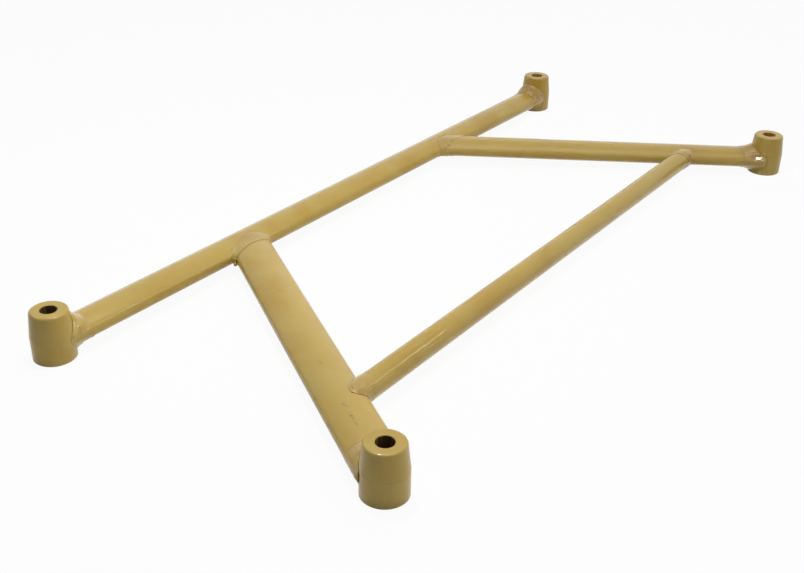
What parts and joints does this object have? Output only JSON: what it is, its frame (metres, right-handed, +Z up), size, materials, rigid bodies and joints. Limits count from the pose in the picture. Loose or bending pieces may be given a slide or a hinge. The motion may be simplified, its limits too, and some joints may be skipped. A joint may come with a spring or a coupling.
{
  "type": "lower arm brace",
  "caption": "Flat welded tube brace, gold painted, with a long rail, slanted arms, a cross strut and upright bored bosses at the corners.",
  "frame": {"origin": "bottom centre of the whole brace, midway between the bosses, in the plane they stand on", "axes": "+X along the long rail, +Y from the slanted arms' bosses towards the rail, +Z up along the bores"},
  "size_m": [0.8614, 0.3754, 0.046],
  "materials": {
    "gold_tube": "gloss",
    "gold_boss": "gloss",
    "gold_weld": "gloss"
  },
  "bodies": {
    "root": {"long_rail": "gold_tube", "arm_left": "gold_tube", "arm_right": "gold_tube", "cross_strut": "gold_tube", "boss_rail_left": "gold_boss", "boss_rail_right": "gold_boss", "boss_arm_left": "gold_boss", "boss_arm_right": "gold_boss", "weld_rail_boss_left": "gold_weld", "weld_rail_boss_right": "gold_weld", "weld_arm_boss_left": "gold_weld", "weld_arm_boss_right": "gold_weld", "weld_root_left": "gold_weld", "weld_root_right": "gold_weld", "weld_strut_left": "gold_weld", "weld_strut_right": "gold_weld"}
  },
  "joints": []
}
